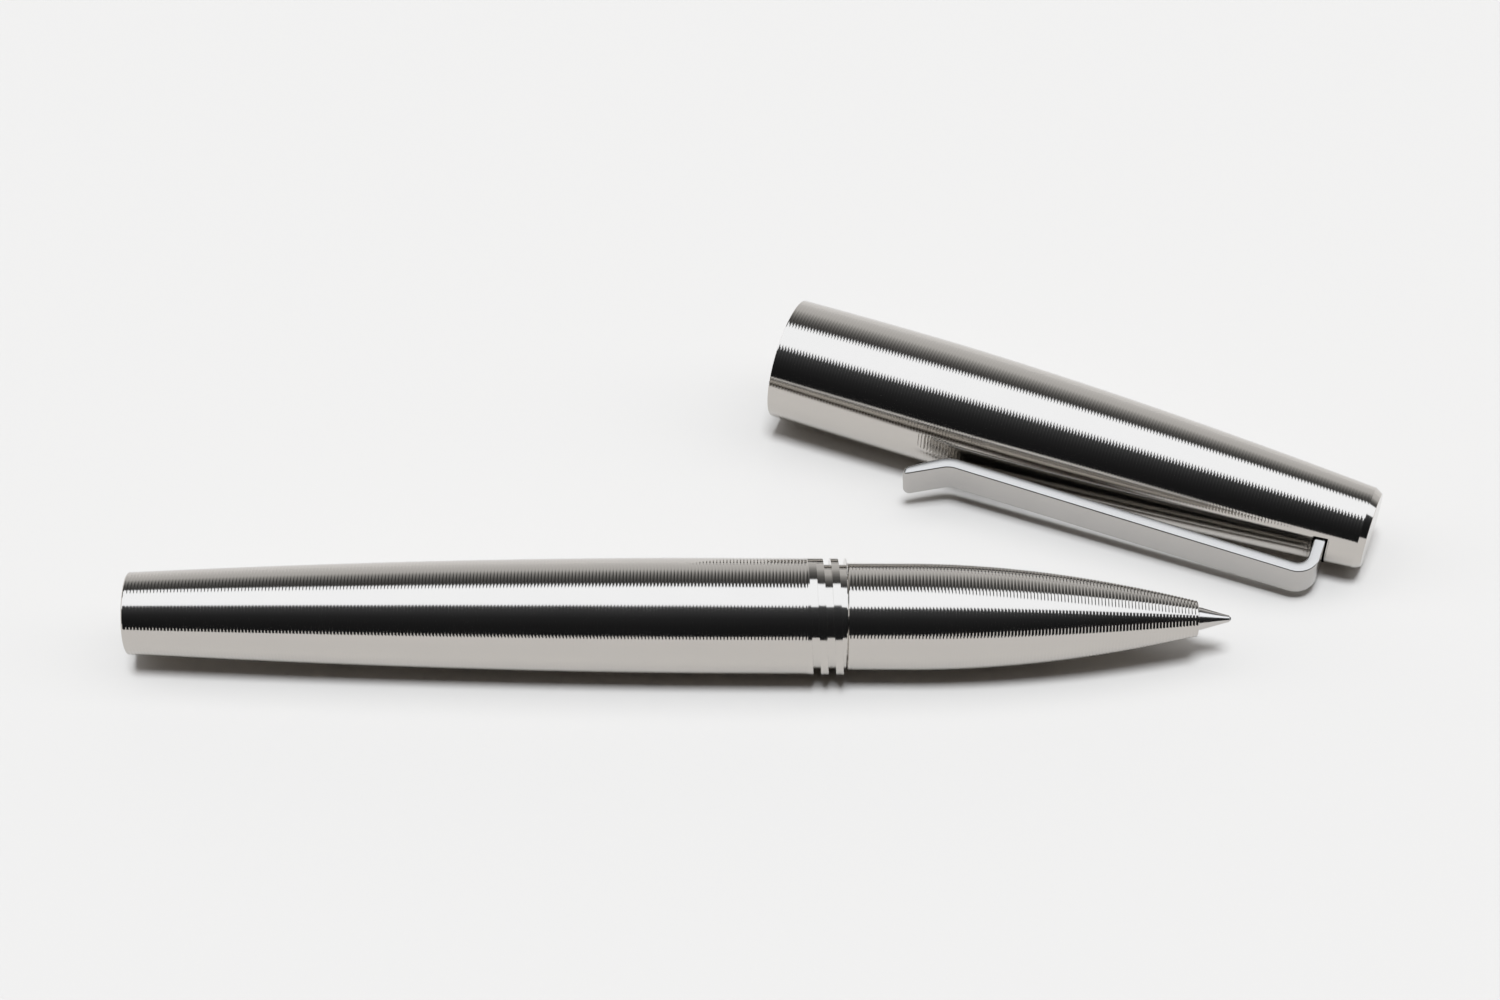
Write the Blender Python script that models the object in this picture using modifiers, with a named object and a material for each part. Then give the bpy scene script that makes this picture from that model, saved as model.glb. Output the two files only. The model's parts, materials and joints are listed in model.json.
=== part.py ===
"""Screw-cap technical pen: turned steel barrel and nose, gel refill, and its cap with a bent strip clip.

The pen lies along +X with its point at +X, and the cap lies beside it with its clip towards -Y.
The origin is at the centre of the bottom of the box that holds both.
"""

import math

import bmesh
import bpy
import numpy as np
from mathutils import Matrix, Vector

MM = 0.001

# Pen, in mm from the barrel's rear face; a radius is from the pen's axis.
BARREL_LENGTH = 76.15
BARREL_RADIUS = 6.23
BARREL_TAPER = 1.85
TAPER_START = 62.0
REAR_FACE_RADIUS = 4.0
THREAD_START = 72.54
THREAD_START_ANGLE = math.radians(76.0)
THREAD_FLOOR = 5.57
THREAD_PITCH = 1.60
THREAD_GROOVE = 0.80
NOSE_START = 76.25
NOSE_END = 113.4
NOSE_RADIUS = 5.76
NOSE_TAPER = 3.86
NOSE_TAPER_START = 83.0
TENON_RADIUS = 4.40
TENON_START = 64.0
TENON_PITCH = 1.0
REFILL_START = 6.3
REFILL_RADIUS = 3.05
POINT_RADIUS = 1.20
POINT_TIP = 117.0
BALL_RADIUS = 0.35

# Cap, in mm from its mouth.
CAP_LENGTH = 68.15
CAP_RADIUS = 7.0
CAP_TAPER = 2.45
CAP_TAPER_START = 16.0
CAP_END_FACE = 4.15
CAP_FLOOR = 64.4
CAP_THREAD_CREST = 5.82
CAP_THREAD_ROOT = 6.35

# Clip: a bent strip whose tab is screwed to the floor of the cap's bore.
CLIP_WIDTH = 4.4
CLIP_THICKNESS = 1.25
CLIP_TAB = 63.42
CLIP_RISE = 8.50
CLIP_KINK = (22.3, 8.24)
CLIP_TIP = (17.7, 10.95)
CLIP_ROLL = math.radians(14.0)

# Where the cap lies: its mouth's centre from the barrel's rear, its yaw and its tilt.
CAP_MOUTH_X = 70.3
CAP_MOUTH_Y = 38.7
CAP_YAW = math.radians(21.2)
CAP_TILT = math.radians(2.0)

STEPS = 40
FINE_STEPS = 24


def barrel_radius(x):
    """Constant at the front, then falling towards the rear as a power of the distance."""
    past = np.clip((TAPER_START - x) / TAPER_START, 0.0, None)
    return BARREL_RADIUS - BARREL_TAPER * past ** 1.8


def nose_radius(x):
    """Constant behind, then falling towards the point as a power of the distance."""
    past = np.clip((x - NOSE_TAPER_START) / (NOSE_END - NOSE_TAPER_START), 0.0, None)
    return NOSE_RADIUS - NOSE_TAPER * past ** 1.9


def cap_radius(s):
    """Slightly swelled behind the mouth, then falling towards the closed end."""
    swell = np.clip((CAP_TAPER_START - s) / CAP_TAPER_START, 0.0, None)
    past = np.clip((s - CAP_TAPER_START) / (CAP_LENGTH - CAP_TAPER_START), 0.0, None)
    return CAP_RADIUS - 0.15 * swell ** 2 - CAP_TAPER * past ** 1.72


def cap_direction():
    """Unit vector along the cap, from its mouth to its closed end."""
    level = math.cos(CAP_TILT)
    return Vector((math.cos(CAP_YAW) * level, -math.sin(CAP_YAW) * level, -math.sin(CAP_TILT)))


def cap_rest_height():
    """Height of the mouth's centre at which the cap's lowest point just touches the ground."""
    s = np.linspace(0.0, CAP_LENGTH, 500)
    low = -s * math.sin(CAP_TILT) - cap_radius(s) * math.cos(CAP_TILT)
    return float(-low.min()) + 0.01


def ground_origin():
    """Middle of the box over pen and cap, in mm in X and Y from the barrel's rear on its axis."""
    s = np.array([CAP_LENGTH - 0.75, CAP_LENGTH])
    r = np.array([cap_radius(CAP_LENGTH - 0.75), CAP_END_FACE])
    along = cap_direction()
    right = float((CAP_MOUTH_X + s * along.x + r * math.sqrt(1.0 - along.x ** 2)).max())
    s = np.linspace(0.0, CAP_LENGTH, 500)
    far = CAP_MOUTH_Y + s * along.y + cap_radius(s) * math.sqrt(1.0 - along.y ** 2)
    return right / 2.0, (float(far.max()) - BARREL_RADIUS) / 2.0


ORIGIN_X, ORIGIN_Y = ground_origin()


def clear_scene():
    """Remove every object of the open scene."""
    for old in list(bpy.data.objects):
        bpy.data.objects.remove(old, do_unlink=True)


def new_collection(name, hidden=False):
    """A collection under the scene's own."""
    group = bpy.data.collections.new(name)
    group.hide_render = hidden
    bpy.context.scene.collection.children.link(group)
    return group


def material(name, colour, roughness, metallic=0.0):
    """A Principled material."""
    made = bpy.data.materials.new(name)
    made.use_nodes = True
    shader = made.node_tree.nodes["Principled BSDF"]
    shader.inputs["Base Color"].default_value = (*colour, 1.0)
    shader.inputs["Roughness"].default_value = roughness
    shader.inputs["Metallic"].default_value = metallic
    made.diffuse_color = (*colour, 1.0)
    return made


def add_object(name, mesh, group, frame, look=None):
    """Put a mesh in the scene at a place and turn."""
    made = bpy.data.objects.new(name, mesh)
    group.objects.link(made)
    made.matrix_world = frame
    if look is not None:
        mesh.materials.append(look)
    return made


def screw(made, steps):
    """Turn the profile once round the object's own Z."""
    turn = made.modifiers.new("Screw", "SCREW")
    turn.axis = "Z"
    turn.angle = 2.0 * math.pi
    turn.steps = steps
    turn.render_steps = steps
    turn.use_merge_vertices = True
    turn.merge_threshold = 1e-6
    turn.use_smooth_shade = True
    return turn


def turned(name, profile, group, frame, look=None, steps=STEPS, ring=False):
    """Turned piece: (along, radius) points in mm, running down the outer side from the top.

    A ring's profile is closed; any other starts and ends on the axis.
    """
    mesh = bpy.data.meshes.new(name)
    points = [(radius * MM, 0.0, along * MM) for along, radius in profile]
    edges = [(i, i + 1) for i in range(len(points) - 1)]
    if ring:
        edges.append((len(points) - 1, 0))
    mesh.from_pydata(points, edges, [])
    made = add_object(name, mesh, group, frame, look)
    screw(made, steps)
    return made


def torus(name, major, minor, along, group, frame, look):
    """A round ring about the frame's Z, at a distance along it."""
    bpy.ops.mesh.primitive_torus_add(
        major_segments=32,
        minor_segments=8,
        major_radius=major * MM,
        minor_radius=minor * MM,
    )
    made = bpy.context.object
    made.name = name
    made.data.name = name
    for user in list(made.users_collection):
        user.objects.unlink(made)
    group.objects.link(made)
    made.matrix_world = frame @ Matrix.Translation((0.0, 0.0, along * MM))
    made.data.materials.append(look)
    made.data.shade_smooth()
    return made


def cutter(made):
    """Mark an object as a cutter."""
    made.hide_render = True
    made.display_type = "WIRE"
    return made


def cut(made, tool):
    """Cut one object from another."""
    boolean = made.modifiers.new(tool.name, "BOOLEAN")
    boolean.operation = "DIFFERENCE"
    boolean.solver = "EXACT"
    boolean.object = tool
    return boolean


def helix_cutter(name, section, pitch, turns, start, phase, steps, group, frame):
    """A closed helical bar with a flat section, right-handed, rising along the frame's Z."""
    shape = bmesh.new()
    corners = [shape.verts.new((r * MM, 0.0, (start + z) * MM)) for z, r in section]
    face = shape.faces.new(corners)
    bmesh.ops.rotate(
        shape, verts=corners, cent=(0, 0, 0), matrix=Matrix.Rotation(phase, 3, "Z")
    )
    count = int(round(turns * steps))
    bmesh.ops.spin(
        shape,
        geom=[face, *face.verts, *face.edges],
        cent=(0.0, 0.0, 0.0),
        axis=(0.0, 0.0, 1.0),
        dvec=(0.0, 0.0, pitch * MM / steps),
        angle=2.0 * math.pi * count / steps,
        steps=count,
        use_duplicate=False,
    )
    bmesh.ops.recalc_face_normals(shape, faces=shape.faces)
    mesh = bpy.data.meshes.new(name)
    shape.to_mesh(mesh)
    shape.free()
    return cutter(add_object(name, mesh, group, frame))


def cylinder_cutter(name, radius, low, high, sides, group, frame):
    """A closed cylinder, or a prism with few sides, along the frame's Z."""
    shape = bmesh.new()
    bmesh.ops.create_cone(
        shape,
        cap_ends=True,
        segments=sides,
        radius1=radius * MM,
        radius2=radius * MM,
        depth=(high - low) * MM,
    )
    bmesh.ops.translate(shape, verts=shape.verts, vec=(0.0, 0.0, (low + high) / 2 * MM))
    mesh = bpy.data.meshes.new(name)
    shape.to_mesh(mesh)
    shape.free()
    return cutter(add_object(name, mesh, group, frame))


def box_cutter(name, low, high, group, frame):
    """A closed box between two corners in mm in the frame."""
    shape = bmesh.new()
    bmesh.ops.create_cube(shape, size=1.0)
    size = [(b - a) * MM for a, b in zip(low, high)]
    middle = [(b + a) / 2 * MM for a, b in zip(low, high)]
    bmesh.ops.scale(shape, verts=shape.verts, vec=size)
    bmesh.ops.translate(shape, verts=shape.verts, vec=middle)
    mesh = bpy.data.meshes.new(name)
    shape.to_mesh(mesh)
    shape.free()
    return cutter(add_object(name, mesh, group, frame))


def pen_frame():
    """The frame of the pen's turned pieces: Z along the pen, origin at the rear on the axis."""
    turn = Matrix.Rotation(math.pi / 2, 4, "Y")
    place = Vector((-ORIGIN_X * MM, -ORIGIN_Y * MM, BARREL_RADIUS * MM))
    return Matrix.Translation(place) @ turn


def cap_frame():
    """The frame of the cap's pieces: Z from mouth to closed end, X out through the clip."""
    along = cap_direction()
    level = Vector((-math.sin(CAP_YAW), -math.cos(CAP_YAW), 0.0))
    up = level.cross(along).normalized()
    if up.z < 0.0:
        up = -up
    out = (level * math.cos(CLIP_ROLL) - up * math.sin(CLIP_ROLL)).normalized()
    side = along.cross(out).normalized()
    frame = Matrix((out, side, along)).transposed().to_4x4()
    frame.translation = Vector(
        (
            (CAP_MOUTH_X - ORIGIN_X) * MM,
            (CAP_MOUTH_Y - ORIGIN_Y) * MM,
            cap_rest_height() * MM,
        )
    )
    return frame


def curve_stations(function, low, high, count):
    """(along, radius) points of a profile function, from high to low."""
    return [(float(x), float(function(x))) for x in np.linspace(high, low, count)]


def make_barrel(group, tools, frame, look):
    """Blind steel tube with the cap's square right-hand thread cut in its front end.

    Inside are the spring's pocket, the refill's bore and a plain bore for the section's tenon.
    """
    inner = [
        (2.4, 0.0),
        (2.4, 2.95),
        (6.0, 3.4),
        (63.0, 3.4),
        (63.0, 4.65),
        (73.6, 4.65),
        (73.9, 4.92),
        (BARREL_LENGTH, 4.92),
    ]
    outer = [(BARREL_LENGTH, 6.1), (BARREL_LENGTH - 0.1, BARREL_RADIUS)]
    body = curve_stations(barrel_radius, 0.42, TAPER_START, 12)
    rim = [(0.12, REAR_FACE_RADIUS + 0.28), (0.0, REAR_FACE_RADIUS), (0.0, 0.0)]
    made = turned("barrel", inner + outer + body + rim, group, frame, look)
    half = THREAD_GROOVE / 2
    section = [(-half, THREAD_FLOOR), (half, THREAD_FLOOR), (half, 6.7), (-half, 6.7)]
    # Angles are about +X from +Y; the frame's own X points down, a quarter turn behind.
    tool = helix_cutter(
        "thread_groove", section, THREAD_PITCH, 3.0, THREAD_START,
        THREAD_START_ANGLE + math.pi / 2, 24, tools, frame,
    )
    cut(made, tool)
    return made


def make_section(group, tools, frame, look):
    """Tapering nose and grip, with the threaded tenon that screws into the barrel."""
    tip = [(NOSE_END, 1.45), (NOSE_END, 1.80), (NOSE_END - 0.08, 1.90)]
    taper = curve_stations(nose_radius, NOSE_TAPER_START, NOSE_END - 0.5, 14)
    back = [
        (NOSE_START + 0.1, NOSE_RADIUS),
        (NOSE_START, NOSE_RADIUS - 0.1),
        (NOSE_START, TENON_RADIUS),
        (75.6, TENON_RADIUS),
        (75.5, 3.93),
        (74.3, 3.93),
        (74.2, TENON_RADIUS),
        (TENON_START + 0.3, TENON_RADIUS),
        (TENON_START, TENON_RADIUS - 0.3),
        (TENON_START, 3.6),
    ]
    bore = [(64.4, 3.35), (101.2, 3.35), (106.8, 2.1), (108.4, 2.1), (108.5, 1.45)]
    made = turned("section", tip + taper + back + bore, group, frame, look, ring=True)
    section = [(-0.02, TENON_RADIUS - 0.40), (0.42, 4.7), (-0.46, 4.7)]
    tool = helix_cutter(
        "tenon_groove", section, TENON_PITCH, 7.2, 63.57, 0.07, 20, tools, frame
    )
    cut(made, tool)
    return made


def make_spring(group, frame, look):
    """Short compression spring between the barrel's floor and the refill."""
    turns = 4.25
    count = int(turns * 12)
    low = 2.4 + 0.55
    high = REFILL_START - 0.55
    curve = bpy.data.curves.new("refill_spring", "CURVE")
    curve.dimensions = "3D"
    curve.bevel_depth = 0.225 * MM
    curve.bevel_resolution = 1
    curve.use_fill_caps = True
    line = curve.splines.new("POLY")
    line.points.add(count)
    for i in range(count + 1):
        turn = 2.0 * math.pi * i / 12
        z = low + (high - low) * i / count
        point = (2.2 * MM * math.cos(turn), 2.2 * MM * math.sin(turn), z * MM, 1.0)
        line.points[i].co = point
    curve.materials.append(look)
    made = bpy.data.objects.new("refill_spring", curve)
    group.objects.link(made)
    made.matrix_world = frame
    return made


def make_refill(group, tools, frame, looks):
    """Standard gel refill: end plug, tube, ink with its follower, nose piece, point and ball."""
    start = REFILL_START
    outer = REFILL_RADIUS
    plug = [
        (start + 4.6, 1.4), (start + 4.6, 2.38), (start + 1.75, 2.42), (start + 1.7, outer),
        (start + 0.3, outer), (start, outer - 0.3), (start, 0.6), (start + 3.0, 0.6),
    ]
    turned("refill_plug", plug, group, frame, looks["plug"], FINE_STEPS, ring=True)
    tube = [(99.0, 2.5), (99.0, outer), (start + 1.85, outer), (start + 1.85, 2.5)]
    turned("refill_tube", tube, group, frame, looks["tube"], FINE_STEPS, ring=True)
    follower = [(30.4, 0.0), (30.4, 2.38), (24.5, 2.38), (25.2, 0.0)]
    turned("ink_follower", follower, group, frame, looks["grease"], FINE_STEPS)
    ink = [(95.2, 0.0), (95.2, 2.38), (30.5, 2.38), (30.5, 0.0)]
    turned("refill_ink", ink, group, frame, looks["ink"], FINE_STEPS)
    holder = [
        (107.9, 1.30), (107.9, 1.75), (106.6, 1.80), (101.3, outer), (99.1, outer),
        (99.1, 2.42), (95.4, 2.38), (95.4, 0.6), (103.9, 0.6), (103.9, 1.30),
    ]
    turned("refill_holder", holder, group, frame, looks["holder"], FINE_STEPS, ring=True)
    point = [
        (POINT_TIP - 0.22, 0.40), (POINT_TIP - 0.24, 0.47), (POINT_TIP - 0.9, 0.60),
        (113.75, POINT_RADIUS), (104.0, POINT_RADIUS), (104.0, 0.5),
        (115.6, 0.5), (116.1, 0.22), (POINT_TIP - 0.62, 0.22), (POINT_TIP - 0.5, 0.40),
    ]
    turned("refill_point", point, group, frame, looks["steel"], FINE_STEPS, ring=True)
    shape = bmesh.new()
    bmesh.ops.create_uvsphere(shape, u_segments=16, v_segments=10, radius=BALL_RADIUS * MM)
    mesh = bpy.data.meshes.new("writing_ball")
    shape.to_mesh(mesh)
    shape.free()
    place = frame @ Matrix.Translation((0.0, 0.0, (POINT_TIP - BALL_RADIUS + 0.1) * MM))
    return add_object("writing_ball", mesh, group, place, looks["ball"])


def make_cap(group, tools, frame, look):
    """Tapered cap: threaded mouth, stepped bore, and a solid end with the clip's slot."""
    outer = [(CAP_LENGTH, 0.0), (CAP_LENGTH, CAP_END_FACE)]
    outer += [(CAP_LENGTH - 0.75, float(cap_radius(CAP_LENGTH - 0.75)))]
    outer += curve_stations(cap_radius, CAP_TAPER_START, CAP_LENGTH - 3.5, 13)
    outer += [(8.0, float(cap_radius(8.0))), (0.1, float(cap_radius(0.1)))]
    bore = [
        (0.0, float(cap_radius(0.0)) - 0.1), (0.0, 6.5), (0.15, CAP_THREAD_ROOT),
        (0.6, CAP_THREAD_ROOT), (0.61, CAP_THREAD_CREST), (4.4, CAP_THREAD_CREST),
        (4.41, 6.34), (5.4, 6.34), (5.8, 6.0), (32.0, 6.0), (32.0, 5.0),
        (47.0, 5.0), (47.0, 3.4), (CAP_FLOOR, 3.4), (CAP_FLOOR, 1.08),
        (66.7, 1.08), (66.95, 0.0),
    ]
    made = turned("cap_tube", outer + bore, group, frame, look)
    section = [(-0.52, 5.4), (0.52, 5.4), (0.52, CAP_THREAD_ROOT), (-0.52, CAP_THREAD_ROOT)]
    tool = helix_cutter(
        "cap_groove", section, THREAD_PITCH, 3.5, -0.3, 0.0, 24, tools, frame
    )
    cut(made, tool)
    half = CLIP_WIDTH / 2 + 0.3
    slot = box_cutter(
        "clip_slot", (2.2, -half, CLIP_TAB - 0.94), (7.0, half, CLIP_TAB + 1.06),
        tools, frame,
    )
    cut(made, slot)
    return made


def make_liner(group, frame, look, seal_look):
    """Plastic cup inside the cap that the nose enters, with a soft ring that seals on the nose."""
    profile = [
        (46.7, 0.0), (46.7, 4.3), (46.2, 4.85), (32.2, 4.85), (32.2, 4.45), (35.2, 4.25),
        (36.8, 4.25), (37.0, 3.45), (40.8, 2.4), (45.5, 2.2), (45.5, 0.0),
    ]
    turned("cap_liner", profile, group, frame, look, 24)
    return torus("liner_seal", 3.68, 0.5, 36.0, group, frame, seal_look)


def clip_path(count):
    """Middle line of the strip as (along, out) points: tab, root bend, run, kink and flared end."""
    corners = [
        Vector((CLIP_TAB, -2.0)), Vector((CLIP_TAB, CLIP_RISE)),
        Vector(CLIP_KINK), Vector(CLIP_TIP),
    ]
    radii = [0.0, 1.85, 3.2, 0.0]
    line = [corners[0]]
    for i in (1, 2):
        back = (corners[i - 1] - corners[i]).normalized()
        ahead = (corners[i + 1] - corners[i]).normalized()
        half = back.angle(ahead) / 2.0
        reach = radii[i] / math.tan(half)
        centre = corners[i] + (back + ahead).normalized() * (radii[i] / math.sin(half))
        first = corners[i] + back * reach - centre
        last = corners[i] + ahead * reach - centre
        for k in range(count + 1):
            line.append(centre + first.slerp(last, k / count).normalized() * radii[i])
    for k in range(1, 7):
        line.append(line[-1].lerp(corners[3], 1.0 / (8 - k)))
    line.append(corners[3])
    return line


def make_clip(group, tools, frame, look):
    """Bent strip clip: an open surface along its path, thickened, with its edges rounded."""
    path = clip_path(6)
    ends = [(point - path[-1]).length for point in path]
    across = 4
    shape = bmesh.new()
    bmesh.ops.create_grid(shape, x_segments=len(path) - 1, y_segments=across, size=1.0)
    for vert in shape.verts:
        station = int(round((vert.co.x + 1.0) / 2.0 * (len(path) - 1)))
        near = max(0.0, 1.0 - ends[station] / 1.6)
        half = CLIP_WIDTH / 2 * math.sqrt(1.0 - 0.45 * near ** 2)
        point = path[station]
        vert.co = Vector((point.y, vert.co.y * half, point.x)) * MM
    mesh = bpy.data.meshes.new("clip")
    shape.to_mesh(mesh)
    shape.free()
    pivot = Matrix.Translation((0.0, 0.0, CLIP_TAB * MM))
    mesh.transform(pivot.inverted())
    made = add_object("clip", mesh, group, frame @ pivot, look)
    thick = made.modifiers.new("Thickness", "SOLIDIFY")
    thick.thickness = CLIP_THICKNESS * MM
    thick.offset = 0.0
    thick.use_even_offset = True
    edge = made.modifiers.new("Edges", "BEVEL")
    edge.width = 0.14 * MM
    edge.segments = 1
    edge.limit_method = "ANGLE"
    edge.angle_limit = math.radians(55.0)
    hole = cylinder_cutter(
        "clip_hole", 1.35, CLIP_TAB - 1.5, CLIP_TAB + 1.5, 32, tools, frame
    )
    cut(made, hole)
    return made


def make_clip_fastener(group, tools, frame, look):
    """Axial screw and washer that clamp the clip's tab to the cap's floor."""
    head = CLIP_TAB - CLIP_THICKNESS / 2 - 0.7
    profile = [
        (66.4, 0.0), (66.4, 0.75), (66.1, 0.95), (head, 0.95), (head, 1.85),
        (head - 1.0, 1.85), (head - 1.25, 1.6), (head - 1.25, 0.0),
    ]
    bolt = turned("clip_screw", profile, group, frame, look, 24)
    tool = cylinder_cutter(
        "screw_socket", 0.85, head - 2.0, head - 0.45, 6, tools, frame
    )
    cut(bolt, tool)
    low = head + 0.08
    washer = [(low + 0.32, 1.08), (low + 0.32, 1.9), (low, 1.9), (low, 1.08)]
    return turned("clip_washer", washer, group, frame, look, 24, ring=True)


def main():
    """Build the pen and its cap."""
    clear_scene()
    parts = new_collection("technical_pen")
    tools = new_collection("technical_pen_cutters", hidden=True)
    steel = material("polished_steel", (0.62, 0.60, 0.58), 0.16, 1.0)
    bright = material("bright_steel", (0.70, 0.69, 0.68), 0.22, 1.0)
    black = material("seal_rubber", (0.02, 0.02, 0.02), 0.6)
    looks = {
        "plug": material("plug_plastic", (0.80, 0.80, 0.78), 0.4),
        "tube": material("tube_plastic", (0.72, 0.74, 0.74), 0.25),
        "grease": material("follower_grease", (0.75, 0.70, 0.45), 0.3),
        "ink": material("black_ink", (0.01, 0.01, 0.012), 0.3),
        "holder": material("holder_plastic", (0.12, 0.12, 0.12), 0.35),
        "steel": material("point_steel", (0.60, 0.58, 0.55), 0.25, 1.0),
        "ball": material("carbide_ball", (0.25, 0.25, 0.26), 0.2, 1.0),
    }
    pen = pen_frame()
    cap = cap_frame()
    make_barrel(parts, tools, pen, steel)
    make_section(parts, tools, pen, steel)
    torus("section_seal", 4.40, 0.42, 74.90, parts, pen, black)
    make_spring(parts, pen, bright)
    make_refill(parts, tools, pen, looks)
    make_cap(parts, tools, cap, steel)
    make_liner(parts, cap, material("liner_plastic", (0.75, 0.75, 0.72), 0.45), black)
    make_clip(parts, tools, cap, bright)
    make_clip_fastener(parts, tools, cap, bright)


main()
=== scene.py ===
import math

import bpy
import numpy as np
from mathutils import Matrix, Vector
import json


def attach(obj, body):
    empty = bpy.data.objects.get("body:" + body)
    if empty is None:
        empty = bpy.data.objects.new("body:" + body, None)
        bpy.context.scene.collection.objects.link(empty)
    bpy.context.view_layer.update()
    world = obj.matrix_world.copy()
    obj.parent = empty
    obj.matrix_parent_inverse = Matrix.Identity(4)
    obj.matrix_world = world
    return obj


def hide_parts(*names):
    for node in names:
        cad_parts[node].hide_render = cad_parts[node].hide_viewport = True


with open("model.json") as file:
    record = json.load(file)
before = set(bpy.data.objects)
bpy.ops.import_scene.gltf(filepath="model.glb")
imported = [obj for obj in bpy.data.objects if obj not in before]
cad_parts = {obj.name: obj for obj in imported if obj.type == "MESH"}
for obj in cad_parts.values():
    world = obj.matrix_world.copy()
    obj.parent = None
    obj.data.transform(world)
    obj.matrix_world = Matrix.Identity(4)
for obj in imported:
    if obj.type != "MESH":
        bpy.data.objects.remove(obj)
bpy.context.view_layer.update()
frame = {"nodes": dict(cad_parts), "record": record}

# Barrel: a stainless tube turned between centres, left with the fine rings of the tool's feed.
# Its front end is smooth and carries the cap's square thread, cut in one piece with it.
# The rear face is flat, with a small rounded rim.

MM = 0.001
barrel_radius = 6.23
barrel_taper = 1.85
barrel_ring_end = 72.05
barrel_full_from = 62.0
rim_depth = 0.3
rear_flat = 3.98
ring_pitch = 0.357
ring_side = 0.3
pen_sharp = 12.0
cap_thread_start = 72.424
cap_thread_angle = math.radians(50.0)
cap_thread_pitch = 1.60
cap_thread_groove = 0.80
cap_thread_floor = 5.57

mounts = {mount["name"]: mount for mount in frame["record"]["mounts"]}
pen_rear = np.array(mounts["barrel_end"]["pos_m"]) / MM
pen_place = {
    "origin": pen_rear,
    "along": np.array([1.0, 0.0, 0.0]),
    "across": np.array([0.0, 1.0, 0.0]),
    "side": np.array([0.0, 0.0, 1.0]),
}


def add_piece(name, points, faces, body, node, sharp=25.0):
    """A new mesh piece from points in mm, riding on a body and standing for a node.

    Edges that turn by more than sharp, in degrees, stay crisp.
    """
    mesh = bpy.data.meshes.new(name)
    mesh.from_pydata(points * MM, [], faces)
    mesh.shade_smooth()
    mesh.set_sharp_from_angle(angle=math.radians(sharp))
    piece = bpy.data.objects.new(name, mesh)
    bpy.context.scene.collection.objects.link(piece)
    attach(piece, body)
    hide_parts(node)
    return piece


def turned(along, radius, place, columns=96, closed=False):
    """Surface of revolution: points and faces.

    Point (i, j) is origin + along[i] * axis + radius[i, j] * (cos(angle j) * across
    + sin(angle j) * side), with the angles evenly round the circle. A closed outline
    joins its last ring to its first; an open one gets a pole on the axis at each end.
    """
    along = np.asarray(along, float)
    radius = np.asarray(radius, float).reshape(len(along), -1)
    radius = np.broadcast_to(radius, (len(along), columns))
    angle = np.arange(columns) * 2 * np.pi / columns
    spoke = np.outer(np.cos(angle), place["across"]) + np.outer(np.sin(angle), place["side"])
    points = along[:, None, None] * place["along"] + radius[:, :, None] * spoke
    points = points.reshape(-1, 3)
    rings = len(along)
    stations = np.arange(rings if closed else rings - 1)
    i, j = np.meshgrid(stations, np.arange(columns), indexing="ij")
    ahead = (i + 1) % rings * columns
    turn = (j + 1) % columns
    quads = np.stack([i * columns + j, ahead + j, ahead + turn, i * columns + turn], -1)
    quads = quads.reshape(-1, 4)
    faces = quads.tolist()
    if not closed:
        points = np.vstack([points, along[0] * place["along"], along[-1] * place["along"]])
        turn = np.arange(columns)
        first = len(points) - 2
        last = (rings - 1) * columns
        ahead = (turn + 1) % columns
        faces += np.stack([turn, ahead, np.full(columns, first)], -1).tolist()
        faces += np.stack([last + ahead, last + turn, np.full(columns, first + 1)], -1).tolist()
    return points + place["origin"], faces


def feed_rings(low, high, radius_of, facet):
    """Outline of a ringed stretch, from low to high: each ring is a groove with a flat floor.

    The groove's sides each take the share ring_side of the pitch, and its depth is
    ring_side * pitch * tan(facet), where facet(x) is the sides' slope in degrees.
    """
    count = int(round((high - low) / ring_pitch))
    step = (np.arange(count)[:, None] + np.array([0.0, ring_side, 1.0 - ring_side])).ravel()
    x = low + np.append(step, count) * (high - low) / count
    depth = ring_side * ring_pitch * np.tan(np.radians(facet(x)))
    down = np.append(np.tile([0.0, 1.0, 1.0], count), 0.0)
    return x, radius_of(x) - depth * down


def pen_facet(x):
    """Slope of the pen's grooves in degrees: 15 at the rear, rising to 27 at the point."""
    return np.interp(x, (0.0, 60.0, 113.0), (15.0, 20.0, 27.0))


def barrel_outline(x):
    """radius = R - taper * ((62 - x) / 62) ** 1.8 behind x = 62, and R in front of it."""
    past = np.clip((barrel_full_from - x) / barrel_full_from, 0.0, None)
    return barrel_radius - barrel_taper * past ** 1.8


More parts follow.
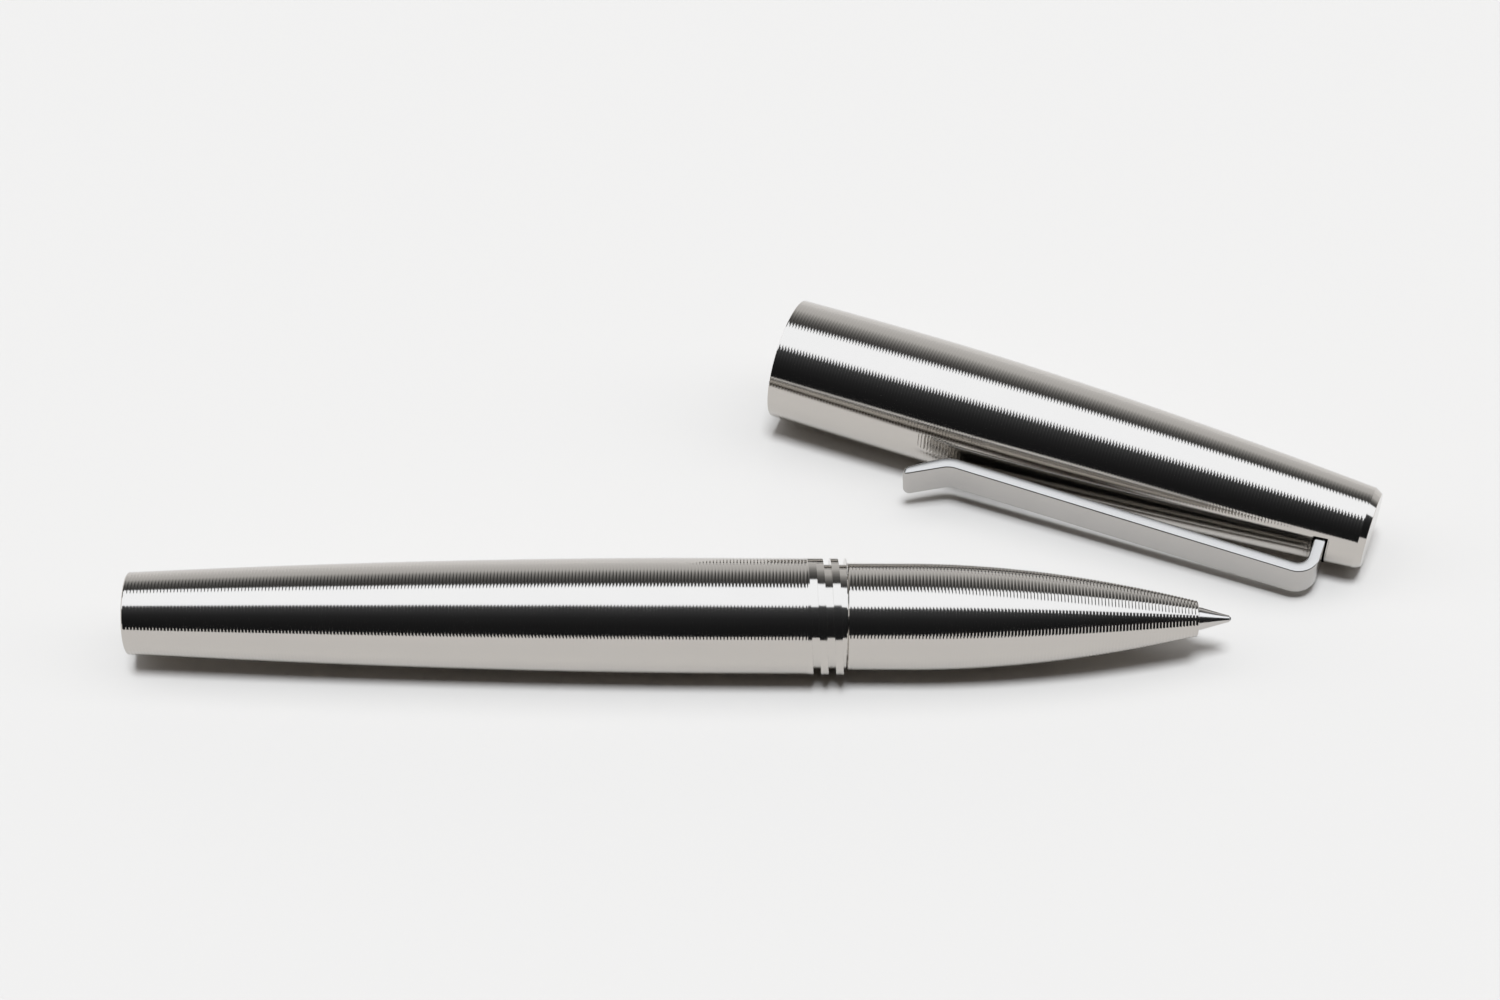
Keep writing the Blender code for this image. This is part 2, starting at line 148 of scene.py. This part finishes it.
def helix_bar(
    low, high, inner, outer, pitch, turns, start, angle, place, steps=96, run_in=0.0
):
    """Square bar wound on a right-hand helix, closed at both ends, for cutting a thread.

    Corner k of station i sits at height start + pitch * i / steps + its own offset,
    at angle + 2 pi i / steps and its own radius. Over the run_in, in turns, the inner
    radius eases down from the outer one, as a tool does when it feeds in.
    """
    station = np.arange(int(turns * steps) + 1)
    offset = np.array([low, high, high, low])
    reach = np.array([inner, inner, outer, outer]) * np.ones((len(station), 1))
    if run_in:
        ease = np.clip(station / steps / run_in, 0.0, 1.0)[:, None]
        reach[:, :2] = inner + (0.97 * outer - inner) * (1.0 - ease)
    height = start + pitch * station[:, None] / steps + offset
    turn = angle + 2 * np.pi * station / steps
    spoke = np.outer(np.cos(turn), place["across"]) + np.outer(np.sin(turn), place["side"])
    points = height[:, :, None] * place["along"] + reach[:, :, None] * spoke[:, None, :]
    points = points.reshape(-1, 3) + place["origin"]
    i, k = np.meshgrid(station[:-1], np.arange(4), indexing="ij")
    around = (k + 1) % 4
    sides = np.stack([4 * i + k, 4 * i + around, 4 * i + 4 + around, 4 * i + 4 + k], -1)
    last = 4 * len(station) - 4
    ends = [[3, 2, 1, 0], [last, last + 1, last + 2, last + 3]]
    return points, sides.reshape(-1, 4).tolist() + ends


def facing_out(points, faces):
    """The same faces, turned round where the solid they close has a negative volume."""
    total = 0.0
    middle = points.mean(axis=0)
    for size in (3, 4):
        some = np.array([face for face in faces if len(face) == size])
        if len(some):
            p = points[some] - middle
            total += np.einsum("ij,ij->", p[:, 0], np.cross(p[:, 1], p[:, 2]))
            if size == 4:
                total += np.einsum("ij,ij->", p[:, 0], np.cross(p[:, 2], p[:, 3]))
    return faces if total > 0 else [face[::-1] for face in faces]


def cut_away(piece, points, faces, sharp):
    """Take a closed solid out of a piece, and keep the result as the piece's own mesh.

    Edges that turn by more than sharp, in degrees, stay crisp.
    """
    mesh = bpy.data.meshes.new("cutter")
    mesh.from_pydata(points * MM, [], facing_out(points, faces))
    tool = bpy.data.objects.new("cutter", mesh)
    bpy.context.scene.collection.objects.link(tool)
    cut = piece.modifiers.new("Cut", "BOOLEAN")
    cut.operation = "DIFFERENCE"
    cut.solver = "EXACT"
    cut.object = tool
    bpy.context.view_layer.update()
    graph = bpy.context.evaluated_depsgraph_get()
    result = bpy.data.meshes.new_from_object(piece.evaluated_get(graph))
    piece.modifiers.remove(cut)
    piece.data = result
    result.shade_smooth()
    result.set_sharp_from_angle(angle=math.radians(sharp))
    bpy.data.objects.remove(tool)


ring_x, ring_r = feed_rings(rim_depth, barrel_ring_end, barrel_outline, pen_facet)
rim = np.linspace(0.0, 1.0, 7)[1:-1]
rim_r = rear_flat + (barrel_outline(rim_depth) - rear_flat) * np.cos(rim * np.pi / 2) ** 0.9
rim_x = rim_depth * (1.0 - np.sin(rim * np.pi / 2))
outside_x = np.concatenate([[76.15, 76.08, 73.5], ring_x[::-1], rim_x, [0.0]])
outside_r = np.concatenate([[6.15, 6.22, barrel_radius], ring_r[::-1], rim_r, [rear_flat]])
inside_x = np.array([2.4, 6.0, 62.8, 63.0, 73.6, 73.9, 76.05, 76.15])
inside_r = np.array([2.95, 3.4, 3.4, 4.65, 4.65, 4.92, 4.92, 5.02])
points, faces = turned(
    np.concatenate([inside_x, outside_x]), np.concatenate([inside_r, outside_r]), pen_place
)
barrel = add_piece(
    "barrel_turned", points, facing_out(points, faces), "barrel", "barrel",
    pen_sharp,
)
half = cap_thread_groove / 2
cut_away(
    barrel,
    *helix_bar(
        -half, half, cap_thread_floor, 6.7, cap_thread_pitch, 3.27,
        cap_thread_start, cap_thread_angle, pen_place, run_in=0.167,
    ),
    sharp=pen_sharp,
)


class Wire:
    """A shader socket on which + - * / add Math nodes, and node() adds any other node."""

    def __init__(self, tree, socket=None):
        self.tree = tree
        self.socket = socket

    def node(self, kind, settings=None, output=0, **values):
        """Add a node: its settings first, then the values or wires of its sockets."""
        made = self.tree.nodes.new(kind)
        for name, value in (settings or {}).items():
            if name == "stops":
                ramp = made.color_ramp.elements
                while len(ramp) < len(value):
                    ramp.new(0.5)
                for stop, (place, colour) in zip(ramp, value):
                    stop.position = place
                    stop.color = (*colour, 1.0)
            else:
                setattr(made, name, value)
        for name, value in values.items():
            key = int(name[1:]) if name[0] == "_" else name.replace("_", " ")
            if isinstance(value, Wire):
                self.tree.links.new(value.socket, made.inputs[key])
            else:
                made.inputs[key].default_value = value
        return Wire(self.tree, made.outputs[output])

    def math(self, operation, *values):
        """A Math node on one to three values."""
        sockets = {f"_{i}": value for i, value in enumerate(values)}
        return self.node("ShaderNodeMath", {"operation": operation}, **sockets)

    def __add__(self, other):
        return self.math("ADD", self, other)

    def __radd__(self, other):
        return self.math("ADD", other, self)

    def __sub__(self, other):
        return self.math("SUBTRACT", self, other)

    def __rsub__(self, other):
        return self.math("SUBTRACT", other, self)

    def __mul__(self, other):
        return self.math("MULTIPLY", self, other)

    def __rmul__(self, other):
        return self.math("MULTIPLY", other, self)

    def __truediv__(self, other):
        return self.math("DIVIDE", self, other)

    def __rtruediv__(self, other):
        return self.math("DIVIDE", other, self)


def new_material(name):
    """A material with a Principled shader, and a wire on its tree."""
    made = bpy.data.materials.new(name)
    made.use_nodes = True
    return made, made.node_tree.nodes["Principled BSDF"], Wire(made.node_tree)


def turned_steel(name, axis, colour, roughness):
    """Polished turned stainless: faint bands of the feed round the axis, faint clouding.

    The band noise reads the distance along the axis, a dot product of the object's
    coordinates with the axis, so every ring is one shade right round.
    """
    made, shader, wire = new_material(name)
    shader.inputs["Metallic"].default_value = 1.0
    place = wire.node("ShaderNodeTexCoord", output=3)
    along = wire.node(
        "ShaderNodeVectorMath", {"operation": "DOT_PRODUCT"}, output=1, _0=place, _1=tuple(axis)
    )
    bands = wire.node(
        "ShaderNodeTexNoise", {"noise_dimensions": "1D"}, W=along * 9000.0, Detail=2.0
    )
    cloud = wire.node("ShaderNodeTexNoise", Vector=place, Scale=220.0, Detail=4.0)
    rough = roughness + (bands - 0.5) * 0.05 + (cloud - 0.5) * 0.05
    dark = tuple(0.93 * c for c in colour)
    tint = wire.node(
        "ShaderNodeMix", {"data_type": "RGBA"}, output=2,
        _0=bands * 0.5 + cloud * 0.5, _6=(*dark, 1.0), _7=(*colour, 1.0),
    )
    made.node_tree.links.new(rough.socket, shader.inputs["Roughness"])
    made.node_tree.links.new(tint.socket, shader.inputs["Base Color"])
    return made


steel_colour = (0.585, 0.558, 0.523)
pen_steel = turned_steel("turned_stainless_pen", (1.0, 0.0, 0.0), steel_colour, 0.09)
barrel.data.materials.append(pen_steel)

# Section: the tapering nose that the fingers hold, turned with the same fine rings, with a
# threaded tenon behind that screws into the barrel and a bore that the refill lies in.

nose_start = 76.25
nose_end = 113.4
nose_radius = 5.76
nose_taper = 3.86
nose_straight_to = 83.0
tenon_pitch = 1.0
tenon_root = 4.0
tenon_crest = 4.4


def nose_outline(x):
    """radius = R - taper * ((x - 83) / 30.4) ** 1.9 in front of x = 83, and R behind it."""
    past = np.clip((x - nose_straight_to) / (nose_end - nose_straight_to), 0.0, None)
    return nose_radius - nose_taper * past ** 1.9


columns = 96
angle = np.arange(columns) * 2 * np.pi / columns
ring_x, ring_r = feed_rings(nose_start + 0.1, nose_end - 0.12, nose_outline, pen_facet)
thread_x = np.arange(73.4, 64.29, -0.0875)
wave = np.cos(2 * np.pi * (thread_x[:, None] / tenon_pitch - angle / (2 * np.pi)))
fade = np.clip((thread_x - 71.6) / 0.8, 0.0, 1.0)[:, None]
thread_middle, thread_swing = (tenon_crest + tenon_root) / 2, (tenon_crest - tenon_root) / 2
thread_r = thread_middle + thread_swing * (fade + (1.0 - fade) * wave)
stretches = [
    ([nose_end, nose_end, nose_end - 0.04], [1.45, 1.80, 1.88]),
    (ring_x[::-1], ring_r[::-1]),
    ([nose_start, nose_start, 75.6], [5.68, tenon_crest, tenon_crest]),
    ([75.5, 74.3, 74.2, 73.5], [3.93, 3.93, tenon_crest, tenon_crest]),
    (thread_x, thread_r),
    ([64.0, 64.0, 64.4, 101.2, 106.8, 108.4, 108.5], [4.0, 3.6, 3.35, 3.35, 2.1, 2.1, 1.45]),
]
section_x = np.concatenate([np.asarray(x, float) for x, r in stretches])
section_r = np.concatenate(
    [np.asarray(r, float).reshape(len(x), -1) * np.ones((1, columns)) for x, r in stretches]
)
points, faces = turned(section_x, section_r, pen_place, closed=True)
section = add_piece(
    "section_turned", points, facing_out(points, faces), "section", "section",
    pen_sharp,
)
section.data.materials.append(pen_steel)


# Section seal: a black rubber ring in the tenon's groove, which steadies the section in the
# barrel.


def ring_outline(major, minor, middle, count=20):
    """Circle of points: along = middle + minor * sin(t), radius = major + minor * cos(t)."""
    turn = np.arange(count) * 2 * np.pi / count
    return middle + minor * np.sin(turn), major + minor * np.cos(turn)


def plain(name, colour, roughness, metallic=0.0, grain=400.0, swing=0.08):
    """One colour with slight clouding of shade and gloss, for small moulded or drawn pieces."""
    made, shader, wire = new_material(name)
    shader.inputs["Metallic"].default_value = metallic
    place = wire.node("ShaderNodeTexCoord", output=3)
    cloud = wire.node("ShaderNodeTexNoise", Vector=place, Scale=grain, Detail=5.0)
    dark = tuple((1.0 - 1.5 * swing) * c for c in colour)
    tint = wire.node(
        "ShaderNodeMix", {"data_type": "RGBA"}, output=2,
        _0=cloud, _6=(*dark, 1.0), _7=(*colour, 1.0),
    )
    rough = roughness + (cloud - 0.5) * swing
    made.node_tree.links.new(rough.socket, shader.inputs["Roughness"])
    made.node_tree.links.new(tint.socket, shader.inputs["Base Color"])
    return made


seal_rubber = plain("seal_rubber", (0.018, 0.018, 0.019), 0.55)
seal_x, seal_r = ring_outline(4.40, 0.42, 74.9)
points, faces = turned(seal_x, seal_r, pen_place, 64, closed=True)
seal = add_piece(
    "section_seal_ring", points, facing_out(points, faces),
    "seal", "section_seal",
)
seal.data.materials.append(seal_rubber)

# Refill: a standard gel refill. A white plug closes the rear of a clear tube that holds the
# ink and the grease following it; a black moulded nose carries the steel point and its ball.


def refill_piece(name, outline, node, finish, columns=64, closed=True):
    """A turned piece of the refill, from (along, radius) pairs."""
    x, r = np.array(outline).T
    points, faces = turned(x, r, pen_place, columns, closed)
    faces = facing_out(points, faces)
    made = add_piece(name, points, faces, "refill", node)
    made.data.materials.append(finish)
    return made


refill_piece(
    "refill_end_plug",
    [
        (10.9, 1.4), (10.9, 2.32), (10.8, 2.38), (8.05, 2.42), (8.0, 3.0), (7.95, 3.05),
        (6.7, 3.05), (6.45, 2.97), (6.32, 2.8), (6.3, 2.6), (6.3, 0.6), (9.3, 0.6),
    ],
    "refill_plug", plain("plug_plastic", (0.80, 0.80, 0.78), 0.40),
)
refill_piece(
    "refill_clear_tube",
    [(99.0, 2.5), (99.0, 3.0), (98.95, 3.05), (8.2, 3.05), (8.15, 3.0), (8.15, 2.5)],
    "refill_tube", plain("tube_plastic", (0.70, 0.73, 0.74), 0.22),
)
refill_piece(
    "refill_nose_piece",
    [
        (107.9, 1.30), (107.9, 1.70), (107.85, 1.75), (106.6, 1.80), (101.5, 2.95),
        (101.3, 3.04), (101.1, 3.05), (99.15, 3.05), (99.1, 3.0), (99.1, 2.42),
        (95.45, 2.38), (95.4, 2.3), (95.4, 0.6), (103.9, 0.6), (103.9, 1.30),
    ],
    "refill_holder", plain("holder_plastic", (0.03, 0.03, 0.03), 0.35),
)
refill_piece(
    "refill_steel_point",
    [
        (116.80, 0.30), (116.79, 0.33), (116.76, 0.36), (116.2, 0.50), (116.1, 0.53),
        (113.80, 1.19), (113.72, 1.20), (104.05, 1.20), (104.0, 1.15), (104.0, 0.5),
        (115.0, 0.5), (115.9, 0.22), (116.38, 0.22), (116.5, 0.31),
    ],
    "refill_point",
    plain("point_steel", (0.60, 0.58, 0.555), 0.16, 1.0, 900.0, 0.06),
)
for node, finish in (
    ("refill_ink", plain("black_ink", (0.008, 0.008, 0.010), 0.25)),
    ("ink_follower", plain("follower_grease", (0.70, 0.66, 0.42), 0.30)),
):
    frame["nodes"][node].data.materials.clear()
    frame["nodes"][node].data.materials.append(finish)

# Writing ball: a small tungsten carbide ball, held in the rolled lip of the point and free to
# roll about its own middle.

turn = np.linspace(0.0, np.pi, 19)[1:-1]
ball_x = 116.75 + 0.25 * np.cos(turn)
points, faces = turned(ball_x, 0.25 * np.sin(turn), pen_place, 32)
ball = add_piece(
    "carbide_ball", points, facing_out(points, faces), "ball", "writing_ball"
)
ball.data.materials.append(plain("tungsten_carbide", (0.22, 0.22, 0.23), 0.25, 1.0, 3000.0))

# Refill spring: a short coil of drawn wire at the bottom of the barrel, which keeps the
# refill forward against the section's shoulder. It is drawn with room for the refill's push.


def coil(radius, wire_radius, low, high, turns, place, per_turn=32, sides=12):
    """Round wire on a helix whose pitch eases to nothing at both ends.

    Station t in 0..1 is at low + (high - low) * (t - sin(2 pi t) / (2 pi) * 0.6) and at
    angle 2 pi * turns * t; each section is a circle across the path.
    """
    t = np.linspace(0.0, 1.0, int(turns * per_turn) + 1)
    rise = low + (high - low) * (t - 0.6 * np.sin(2 * np.pi * t) / (2 * np.pi))
    turn = 2 * np.pi * turns * t
    out = np.outer(np.cos(turn), place["across"]) + np.outer(np.sin(turn), place["side"])
    path = rise[:, None] * place["along"] + radius * out
    ring = np.arange(sides) * 2 * np.pi / sides
    section = np.cos(ring)[None, :, None] * out[:, None, :]
    section = section + np.sin(ring)[None, :, None] * place["along"]
    points = (path[:, None, :] + wire_radius * section).reshape(-1, 3) + place["origin"]
    i, k = np.meshgrid(np.arange(len(t) - 1), np.arange(sides), indexing="ij")
    around = (k + 1) % sides
    quads = np.stack([sides * i + k, sides * i + around], -1)
    quads = np.concatenate([quads, quads[..., ::-1] + sides], -1).reshape(-1, 4).tolist()
    last = sides * (len(t) - 1)
    ends = [list(range(sides))[::-1], list(range(last, last + sides))]
    return points, quads + ends


points, faces = coil(2.2, 0.225, 2.95, 5.25, 4.25, pen_place)
spring = add_piece(
    "refill_spring_coil", points, faces, "barrel", "refill_spring"
)
spring.data.materials.append(plain("spring_wire", (0.60, 0.59, 0.58), 0.28, 1.0))

# Cap: a tapering steel cup turned like the pen, with a female thread in its mouth, a stepped
# bore, a chamfered solid end, and a slot milled through its wall for the clip.

cap_length = 68.15
cap_radius = 7.0
cap_taper = 2.45
cap_swell_to = 16.0
cap_chamfer = 0.75
cap_sharp = 4.2
clip_width = 4.4
cap_axis = np.array(mounts["cap_end"]["axis"])
cap_axis = cap_axis / np.linalg.norm(cap_axis)
joints = {joint["name"]: joint for joint in frame["record"]["behaviour"]["joints"]}
cap_side = -np.array(joints["clip_flex"]["axis"])
cap_side = cap_side / np.linalg.norm(cap_side)
cap_out = np.cross(cap_side, cap_axis)
cap_place = {
    "origin": np.array(mounts["cap_end"]["pos_m"]) / MM - cap_length * cap_axis,
    "along": cap_axis,
    "across": cap_out,
    "side": cap_side,
}


def cap_outline(s):
    """radius = R - 0.15 * swell ** 2 - taper * past ** 1.72, from the mouth at s = 0."""
    swell = np.clip((cap_swell_to - s) / cap_swell_to, 0.0, None)
    past = np.clip((s - cap_swell_to) / (cap_length - cap_swell_to), 0.0, None)
    return cap_radius - 0.15 * swell ** 2 - cap_taper * past ** 1.72


def cap_facet(s):
    """Slope of the cap's grooves in degrees: 4.8 at the mouth, rising to 8 at the end."""
    return np.interp(s, (0.0, 68.0), (4.8, 8.0))


ring_x, ring_r = feed_rings(0.12, cap_length - cap_chamfer - 0.13, cap_outline, cap_facet)
end_r = float(cap_outline(cap_length - cap_chamfer))
outside_x = np.concatenate(
    [cap_length - np.array([0.0, 0.04, 0.72, 0.78]), ring_x[::-1], [0.03, 0.0]]
)
outside_r = np.concatenate([[4.10, 4.16, end_r - 0.04, end_r], ring_r[::-1], [6.84, 6.78]])
inside = np.array(
    [
        (0.0, 6.5), (0.15, 6.35), (0.6, 6.35), (0.61, 5.82), (4.40, 5.82), (4.41, 6.34),
        (5.4, 6.34), (5.8, 6.0), (31.98, 6.0), (32.0, 5.0), (46.98, 5.0), (47.0, 3.4),
        (64.4, 3.4), (64.4, 1.08), (66.7, 1.08),
    ]
).T
points, faces = turned(
    np.concatenate([outside_x, inside[0]]), np.concatenate([outside_r, inside[1]]), cap_place
)
cap = add_piece(
    "cap_turned", points, facing_out(points, faces), "cap", "cap_tube", cap_sharp
)
cut_away(
    cap,
    *helix_bar(-0.52, 0.52, 5.4, 6.35, cap_thread_pitch, 3.5, -0.3, 0.0, cap_place),
    sharp=cap_sharp,
)
slot_out, slot_side, slot_along = (2.2, 7.0), (-2.5, 2.5), (62.62, 64.24)
corner = np.array([[x, y, z] for x in slot_out for y in slot_side for z in slot_along])
corner = (
    cap_place["origin"] + corner[:, :1] * cap_out + corner[:, 1:2] * cap_side
    + corner[:, 2:] * cap_axis
)
box_sides = [[0, 1, 3, 2], [4, 6, 7, 5], [0, 4, 5, 1], [2, 3, 7, 6], [0, 2, 6, 4], [1, 5, 7, 3]]
cut_away(cap, corner, box_sides, cap_sharp)
cap.data.materials.append(
    turned_steel("turned_stainless_cap", cap_axis, steel_colour, 0.09)
)

# Cap liner: a plastic cup inside the cap that closes round the nose, with a soft ring that
# keeps the point from drying.

liner = np.array(
    [
        (46.7, 4.3), (46.2, 4.85), (32.3, 4.85), (32.2, 4.8), (32.2, 4.5), (32.3, 4.42),
        (35.2, 4.25), (36.8, 4.25), (37.0, 3.45), (40.8, 2.4), (45.5, 2.2),
    ]
).T
points, faces = turned(liner[0], liner[1], cap_place, 64)
cap_liner = add_piece(
    "cap_liner_cup", points, facing_out(points, faces), "cap", "cap_liner"
)
cap_liner.data.materials.append(plain("liner_plastic", (0.74, 0.74, 0.71), 0.45))
seal_x, seal_r = ring_outline(3.68, 0.5, 36.0)
points, faces = turned(seal_x, seal_r, cap_place, 64, closed=True)
liner_seal = add_piece(
    "liner_seal_ring", points, facing_out(points, faces), "cap", "liner_seal"
)
liner_seal.data.materials.append(seal_rubber)

# Clip: a strip of stainless spring steel bent twice. Its tab goes through the cap's slot, and
# its free end flares and is ground thinner and round.

clip_thickness = 1.25
clip_corners = np.array([(63.42, -2.0), (63.42, 8.50), (22.3, 8.24), (17.7, 10.95)])
clip_bends = {1: 1.85, 2: 3.2}
clip_round = 0.75
clip_flare = 4.6


def bent_line(corners, bends, arc=14, run=14):
    """Straight runs between corners, each corner rounded by an arc of its own radius.

    An arc's centre lies on the corner's bisector at radius / sin(half angle), and its
    points turn evenly from one tangent point to the other.
    """
    parts = []
    start = corners[0]
    for i, radius in bends.items():
        back = corners[i - 1] - corners[i]
        back = back / np.linalg.norm(back)
        ahead = corners[i + 1] - corners[i]
        ahead = ahead / np.linalg.norm(ahead)
        half = math.acos(np.clip(back @ ahead, -1, 1)) / 2
        bisector = (back + ahead) / np.linalg.norm(back + ahead)
        centre = corners[i] + bisector * radius / math.sin(half)
        first = corners[i] + back * radius / math.tan(half)
        last = corners[i] + ahead * radius / math.tan(half)
        share = np.linspace(0, 1, run, endpoint=False)[:, None]
        parts.append(start + (first - start) * share)
        sweep = math.pi - 2 * half
        share = np.linspace(0, 1, arc, endpoint=False)[:, None]
        blend = np.sin((1 - share) * sweep) * (first - centre) + np.sin(share * sweep) * (
            last - centre
        )
        parts.append(centre + blend / math.sin(sweep))
        start = last
    share = np.linspace(0, 1, run + 10)[:, None]
    parts.append(start + (corners[-1] - start) * share)
    return np.vstack(parts)


def rounded_section(half_wide, low, high, corner, count=4):
    """Rounded rectangle across the strip: (across, out) points, one row for each station.

    Quarter circles of the corner radius sit at the four corners.
    """
    turn = np.linspace(0, np.pi / 2, count + 1)
    turns = np.concatenate([turn + k * np.pi / 2 for k in range(4)])
    right = np.repeat([1, -1, -1, 1], count + 1)
    top = np.repeat([1, 1, -1, -1], count + 1)
    x = right * (half_wide - corner)[:, None] + corner[:, None] * np.cos(turns)
    y = np.where(top > 0, (high - corner)[:, None], (low + corner)[:, None])
    return x, y + corner[:, None] * np.sin(turns)


line = bent_line(clip_corners, clip_bends)
step = np.gradient(line, axis=0)
step = step / np.linalg.norm(step, axis=1)[:, None]
outward = np.stack([step[:, 1], -step[:, 0]], -1)
gone = np.concatenate([[0], np.cumsum(np.linalg.norm(np.diff(line, axis=0), axis=1))])
to_end = gone[-1] - gone
tip = np.clip(1.0 - to_end / clip_round, 0.0, 1.0)
thin = np.clip(1.0 - to_end / clip_flare, 0.0, 1.0)
round_off = np.sqrt(np.clip(1.0 - tip ** 2, 0.0, None))
half_wide = clip_width / 2 - 0.55 * (1.0 - round_off)
high = clip_thickness / 2 * np.ones(len(line))
low = -clip_thickness / 2 + 0.42 * thin ** 1.6
middle = (high + low) / 2
high = middle + (high - middle) * np.maximum(round_off, 0.25)
low = middle + (low - middle) * np.maximum(round_off, 0.25)
corner = np.minimum(0.16, (high - low) * 0.42)
x, y = rounded_section(half_wide, low, high, corner)
place = cap_place["origin"] + line[:, :1] * cap_axis + line[:, 1:] * cap_out
normal = outward[:, :1] * cap_axis + outward[:, 1:] * cap_out
points = place[:, None, :] + x[:, :, None] * cap_side + y[:, :, None] * normal[:, None, :]
count = x.shape[1]
i, k = np.meshgrid(np.arange(len(line) - 1), np.arange(count), indexing="ij")
around = (k + 1) % count
quads = np.stack(
    [count * i + k, count * i + around, count * i + count + around, count * i + count + k], -1
)
last = count * (len(line) - 1)
faces = quads.reshape(-1, 4).tolist()
faces += [list(range(count))[::-1], list(range(last, last + count))]
points = points.reshape(-1, 3)
clip = add_piece("clip_strip", points, faces, "clip", "clip", sharp=40.0)
clip.data.materials.append(
    plain("satin_spring_steel", (0.50, 0.485, 0.465), 0.20, 1.0, 260.0, 0.05)
)

# Clip screw and washer: inside the cap, holding the clip's tab on the floor of the bore.

screw_steel = plain("screw_steel", (0.60, 0.59, 0.58), 0.30, 1.0)
for node in ("clip_screw", "clip_washer"):
    frame["nodes"][node].data.materials.clear()
    frame["nodes"][node].data.materials.append(screw_steel)

# Ground: a seamless pale sheet, evenly lit, that shows only soft shadows.

floor_mesh = bpy.data.meshes.new("pale_ground")
reach = 4.0
floor_mesh.from_pydata(
    [(-reach, -reach, 0.0), (reach, -reach, 0.0), (reach, reach, 0.0), (-reach, reach, 0.0)],
    [], [(0, 1, 2, 3)],
)
ground = bpy.data.objects.new("pale_ground", floor_mesh)
bpy.context.scene.collection.objects.link(ground)
sheet_look, shader, wire = new_material("pale_sheet")
shader.inputs["Base Color"].default_value = (0.455, 0.42, 0.38, 1.0)
shader.inputs["Roughness"].default_value = 0.9
shader.inputs["Specular IOR Level"].default_value = 0.0
ground.data.materials.append(sheet_look)

# Studio light: a long soft overhead bank, a dark room on the near side and a pale far wall.
# Its brightness depends on the angle round the pen's own direction, so each is a long strip
# that runs past both ends; only the far wall is darker towards the pen's rear.

world = bpy.data.worlds.new("studio")
world.use_nodes = True
bpy.context.scene.world = world
room = Wire(world.node_tree)
direction = room.node("ShaderNodeTexCoord", output=0)
parts = room.node("ShaderNodeSeparateXYZ", Vector=direction)
side_way = Wire(room.tree, parts.socket.node.outputs[1])
up_way = Wire(room.tree, parts.socket.node.outputs[2])
turn = room.math("ABSOLUTE", room.math("ARCTAN2", up_way, side_way * -1.0) / math.pi)


def tone(level, place):
    """A cool white of this brightness on the near side and overhead, neutral behind."""
    cool = np.interp(place, (0.625, 0.66), (1.0, 0.0))
    return tuple(level * (0.5 + cool * shift) for shift in (-0.022, 0.0, 0.034))


room_tones = [
    (0.0, 0.012), (0.139, 0.016), (0.233, 0.026), (0.278, 0.04), (0.328, 0.06),
    (0.372, 0.10), (0.386, 1.60), (0.625, 1.60), (0.642, 0.12), (0.660, 0.06),
    (0.73, 0.16), (0.80, 0.40), (0.85, 0.66), (1.0, 0.80),
]
left_tones = room_tones[:10] + [(0.80, 0.045), (0.84, 0.10), (0.90, 0.55), (1.0, 0.80)]
ends = [
    room.node(
        "ShaderNodeValToRGB",
        {"stops": [(place, tone(level, place)) for place, level in tones]},
        Fac=turn,
    )
    for tones in (left_tones, room_tones)
]
along_way = Wire(room.tree, parts.socket.node.outputs[0])
rightward = room.node("ShaderNodeMapRange", Value=along_way, From_Min=-0.45, From_Max=-0.25)
light = room.node(
    "ShaderNodeMix", {"data_type": "RGBA"}, output=2, _0=rightward, _6=ends[0], _7=ends[1]
)
lamp = world.node_tree.nodes["Background"]
world.node_tree.links.new(light.socket, lamp.inputs["Color"])
lamp.inputs["Strength"].default_value = 2.0

# A small high lamp gives the ground its even light and the short dark shadows.

high_lamp = bpy.data.lights.new("high_lamp", "SUN")
high_lamp.energy = 5.06
high_lamp.color = (0.808, 0.889, 1.0)
high_lamp.angle = math.radians(17.0)
overhead = bpy.data.objects.new("high_lamp", high_lamp)
bpy.context.scene.collection.objects.link(overhead)
overhead.visible_glossy = False
overhead.rotation_euler = Vector((-0.03, -0.25, 0.97)).to_track_quat("Z", "Y").to_euler()

# Camera: level with the pen's length, looking down at 45 degrees from the near side.

distance = 0.3551
rise = 0.012296
tilt = math.radians(45.0)
focus = (pen_rear + np.array([65.934, 0.0, 0.06])) * MM
right = np.array([1.0, 0.0, 0.0])
up = np.array([0.0, math.sin(tilt), math.cos(tilt)])
back = np.array([0.0, -math.cos(tilt), math.sin(tilt)])
centre = focus + back * distance + up * rise
roll = math.radians(0.28)
turned_right = math.cos(roll) * right + math.sin(roll) * up
turned_up = -math.sin(roll) * right + math.cos(roll) * up
eye = bpy.data.objects.new("camera", bpy.data.cameras.new("camera"))
bpy.context.scene.collection.objects.link(eye)
pose = np.eye(4)
pose[:3, 0] = turned_right
pose[:3, 1] = turned_up
pose[:3, 2] = back
pose[:3, 3] = centre
eye.matrix_world = Matrix(pose.tolist())
eye.data.sensor_width = 36.0
eye.data.lens = 80.4
eye.data.clip_start = 0.01
bpy.context.scene.camera = eye
bpy.context.scene.view_settings.view_transform = "Standard"
